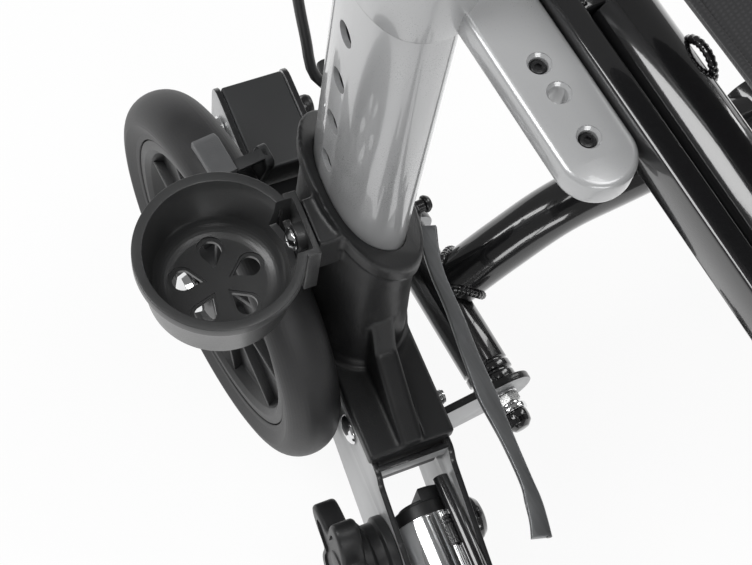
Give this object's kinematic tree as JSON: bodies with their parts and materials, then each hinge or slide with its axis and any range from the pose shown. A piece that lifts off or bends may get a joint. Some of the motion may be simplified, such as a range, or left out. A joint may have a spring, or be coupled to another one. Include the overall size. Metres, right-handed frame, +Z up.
{
  "type": "rollator",
  "caption": "Side-folding rollator: splayed side frames, height-adjustable handles with brakes, folding padded seat and a cane cup.",
  "frame": {"origin": "on the floor under the middle of the bounding box", "axes": "+Z up, front faces -Y, the user walks behind it on the +Y side, X across"},
  "size_m": [0.6831, 0.6959, 0.9115],
  "materials": {
    "black_plastic": "satin",
    "black_gloss_paint": "gloss",
    "silver_grey_paint": "gloss",
    "pale_satin_steel": "satin",
    "chrome": "polished",
    "tyre_rubber": "matt",
    "black_fabric": "matt",
    "grey_blade_steel": "satin",
    "grey_plastic": "satin"
  },
  "bodies": {
    "left_frame": {"left_wheel_bracket": "pale_satin_steel", "left_rear_block": "black_plastic", "left_socket_housing": "black_plastic", "left_column": "silver_grey_paint", "left_rear_axle": "chrome", "left_rear_bolt": "chrome", "left_front_bolt": "chrome", "left_leg_tube": "chrome", "left_tube_plug": "black_plastic", "left_clamp_cap": "black_gloss_paint", "left_hinge_bolt": "chrome", "left_seat_arm": "silver_grey_paint", "left_seat_rail": "black_gloss_paint", "left_head_and_strut": "silver_grey_paint", "left_brake_cable": "black_plastic", "cane_cup": "black_plastic", "cup_screw": "chrome", "backrest": "black_fabric"},
    "left_rear_wheel": {"left_rear_tyre": "tyre_rubber", "left_rear_rim": "black_plastic"},
    "left_knob": {"left_star_knob": "black_plastic"},
    "left_caster": {"left_caster_fork": "black_gloss_paint"},
    "left_front_wheel": {"left_caster_wheel": "tyre_rubber"},
    "left_brake": {"left_brake_shoe": "grey_plastic"},
    "left_handle": {"left_handle_post": "silver_grey_paint", "left_hand_grip": "tyre_rubber", "left_brake_bracket": "black_plastic"},
    "left_lever": {"left_brake_lever": "black_plastic"},
    "right_frame": {"right_wheel_bracket": "pale_satin_steel", "right_rear_block": "black_plastic", "right_socket_housing": "black_plastic", "right_column": "silver_grey_paint", "right_rear_axle": "chrome", "right_rear_bolt": "chrome", "right_front_bolt": "chrome", "right_leg_tube": "chrome", "right_tube_plug": "black_plastic", "right_clamp_cap": "black_gloss_paint", "right_hinge_bolt": "chrome", "right_seat_arm": "silver_grey_paint", "right_seat_rail": "black_gloss_paint", "right_head_and_strut": "silver_grey_paint", "right_brake_cable": "black_plastic"},
    "right_rear_wheel": {"right_rear_tyre": "tyre_rubber", "right_rear_rim": "black_plastic"},
    "right_knob": {"right_star_knob": "black_plastic"},
    "right_caster": {"right_caster_fork": "black_gloss_paint"},
    "right_front_wheel": {"right_caster_wheel": "tyre_rubber"},
    "right_brake": {"right_brake_shoe": "grey_plastic"},
    "right_handle": {"right_handle_post": "silver_grey_paint", "right_hand_grip": "tyre_rubber", "right_brake_bracket": "black_plastic"},
    "right_lever": {"right_brake_lever": "black_plastic"},
    "lock_lever": {"lock_lever": "grey_blade_steel"},
    "left_cross": {"left_cross_link": "black_gloss_paint"},
    "right_cross": {"right_cross_link": "black_gloss_paint"},
    "left_seat": {"left_seat_link": "black_gloss_paint", "left_seat_pad": "black_fabric"},
    "right_seat": {"right_seat_link": "black_gloss_paint", "right_seat_pad": "black_fabric"}
  },
  "joints": [
    {"name": "fold", "type": "hinge", "parent": "left_frame", "child": "left_cross", "pos_m": [-0.1792, -0.0356, 0.085], "axis": [0, -1, 0], "range_deg": [0, 50], "deforming": ["backrest"]},
    {"name": "fold_middle", "type": "hinge", "parent": "left_cross", "child": "right_cross", "pos_m": [0.0143, -0.0356, 0.125], "axis": [0, -1, 0], "range_deg": [-100, 0]},
    {"name": "fold_right", "type": "hinge", "parent": "right_cross", "child": "right_frame", "pos_m": [0.2078, -0.0356, 0.085], "axis": [0, -1, 0], "range_deg": [0, 50]},
    {"name": "seat_left", "type": "hinge", "parent": "left_frame", "child": "left_seat", "pos_m": [-0.1792, -0.0356, 0.4], "axis": [0, -1, 0], "range_deg": [0, 50]},
    {"name": "seat_middle", "type": "hinge", "parent": "left_seat", "child": "right_seat", "pos_m": [0.0143, -0.0356, 0.44], "axis": [0, -1, 0], "range_deg": [-100, 0]},
    {"name": "lock_lever_press", "type": "hinge", "parent": "left_frame", "child": "lock_lever", "pos_m": [-0.1872, 0.1504, 0.15], "axis": [1, 0, 0], "range_deg": [0, 10], "stiffness_Nm_per_rad": 1},
    {"name": "left_rear_roll", "type": "hinge", "parent": "left_frame", "child": "left_rear_wheel", "pos_m": [-0.2757, 0.1794, 0.1], "axis": [1, 0, 0], "continuous": true},
    {"name": "left_caster_swivel", "type": "hinge", "parent": "left_frame", "child": "left_caster", "pos_m": [-0.28649, -0.29297, 0], "axis": [0, 0, 1], "continuous": true},
    {"name": "left_front_roll", "type": "hinge", "parent": "left_caster", "child": "left_front_wheel", "pos_m": [-0.28649, -0.25797, 0.09], "axis": [1, 0, 0], "continuous": true},
    {"name": "left_knob_turn", "type": "hinge", "parent": "left_frame", "child": "left_knob", "pos_m": [-0.29525, 0.02463, 0.078], "axis": [0.9921, -0.1253, 0], "continuous": true},
    {"name": "left_handle_height", "type": "slide", "parent": "left_frame", "child": "left_handle", "axis": [0, 0, 1], "range_m": [0, 0.12], "deforming": ["left_brake_cable"]},
    {"name": "left_lever_squeeze", "type": "hinge", "parent": "left_handle", "child": "left_lever", "pos_m": [-0.23239, 0.2064, 0.858], "axis": [1, 0, 0], "range_deg": [0, 10], "stiffness_Nm_per_rad": 1},
    {"name": "left_brake_press", "type": "hinge", "parent": "left_frame", "child": "left_brake", "pos_m": [-0.2757, 0.2094, 0.092], "axis": [1, 0, 0], "range_deg": [0, 1.4]},
    {"name": "right_rear_roll", "type": "hinge", "parent": "right_frame", "child": "right_rear_wheel", "pos_m": [0.3043, 0.1794, 0.1], "axis": [1, 0, 0], "continuous": true},
    {"name": "right_caster_swivel", "type": "hinge", "parent": "right_frame", "child": "right_caster", "pos_m": [0.31509, -0.29297, 0], "axis": [0, 0, 1], "continuous": true},
    {"name": "right_front_roll", "type": "hinge", "parent": "right_caster", "child": "right_front_wheel", "pos_m": [0.31509, -0.25797, 0.09], "axis": [1, 0, 0], "continuous": true},
    {"name": "right_knob_turn", "type": "hinge", "parent": "right_frame", "child": "right_knob", "pos_m": [0.32385, 0.02463, 0.078], "axis": [-0.9921, -0.1253, 0], "continuous": true},
    {"name": "right_handle_height", "type": "slide", "parent": "right_frame", "child": "right_handle", "axis": [0, 0, 1], "range_m": [0, 0.12], "deforming": ["right_brake_cable"]},
    {"name": "right_lever_squeeze", "type": "hinge", "parent": "right_handle", "child": "right_lever", "pos_m": [0.26099, 0.2064, 0.858], "axis": [1, 0, 0], "range_deg": [0, 10], "stiffness_Nm_per_rad": 1},
    {"name": "right_brake_press", "type": "hinge", "parent": "right_frame", "child": "right_brake", "pos_m": [0.3043, 0.2094, 0.092], "axis": [1, 0, 0], "range_deg": [0, 1.4]}
  ],
  "couplings": [
    {"joint": "fold_middle", "follows": "fold", "ratio": -2},
    {"joint": "fold_right", "follows": "fold", "ratio": 1},
    {"joint": "seat_left", "follows": "fold", "ratio": 1},
    {"joint": "seat_middle", "follows": "fold", "ratio": -2},
    {"joint": "left_brake_press", "follows": "left_lever_squeeze", "ratio": 0.14},
    {"joint": "right_brake_press", "follows": "right_lever_squeeze", "ratio": 0.14}
  ]
}
